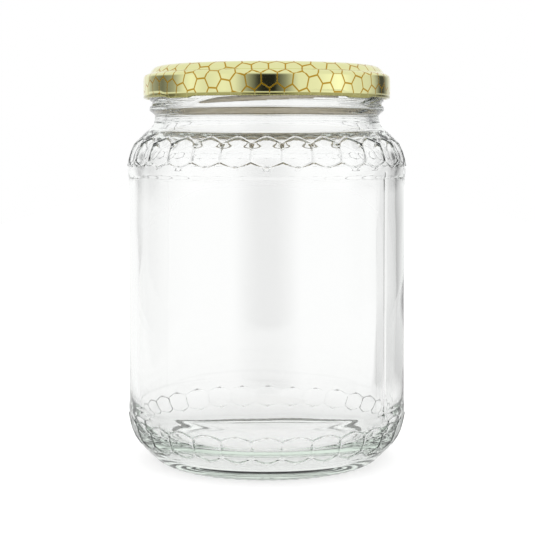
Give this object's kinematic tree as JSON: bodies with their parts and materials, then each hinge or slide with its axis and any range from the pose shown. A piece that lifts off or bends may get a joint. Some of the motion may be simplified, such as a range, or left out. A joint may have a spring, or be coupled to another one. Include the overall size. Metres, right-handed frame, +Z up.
{
  "type": "embossed glass honey jar",
  "caption": "Clear glass jar with a raised honeycomb row round the shoulder and the heel, empty and closed by a gold twist-off lid.",
  "frame": {"origin": "centre of the bearing ring under the jar, on the surface that the jar stands on", "axes": "+Z up along the jar's turning axis; the shown side faces -Y, with +X to its right"},
  "size_m": [0.0952, 0.0956, 0.134],
  "materials": {
    "clear_glass": "clear soda-lime glass, very faint green in its thick places",
    "gold_tinplate": "pale gold lacquered tinplate with an amber line print",
    "cream_compound": "smooth cream sealing compound"
  },
  "bodies": {
    "root": {"glass_jar": "clear_glass", "twist_off_lid": "gold_tinplate", "sealing_ring": "cream_compound"}
  },
  "joints": []
}
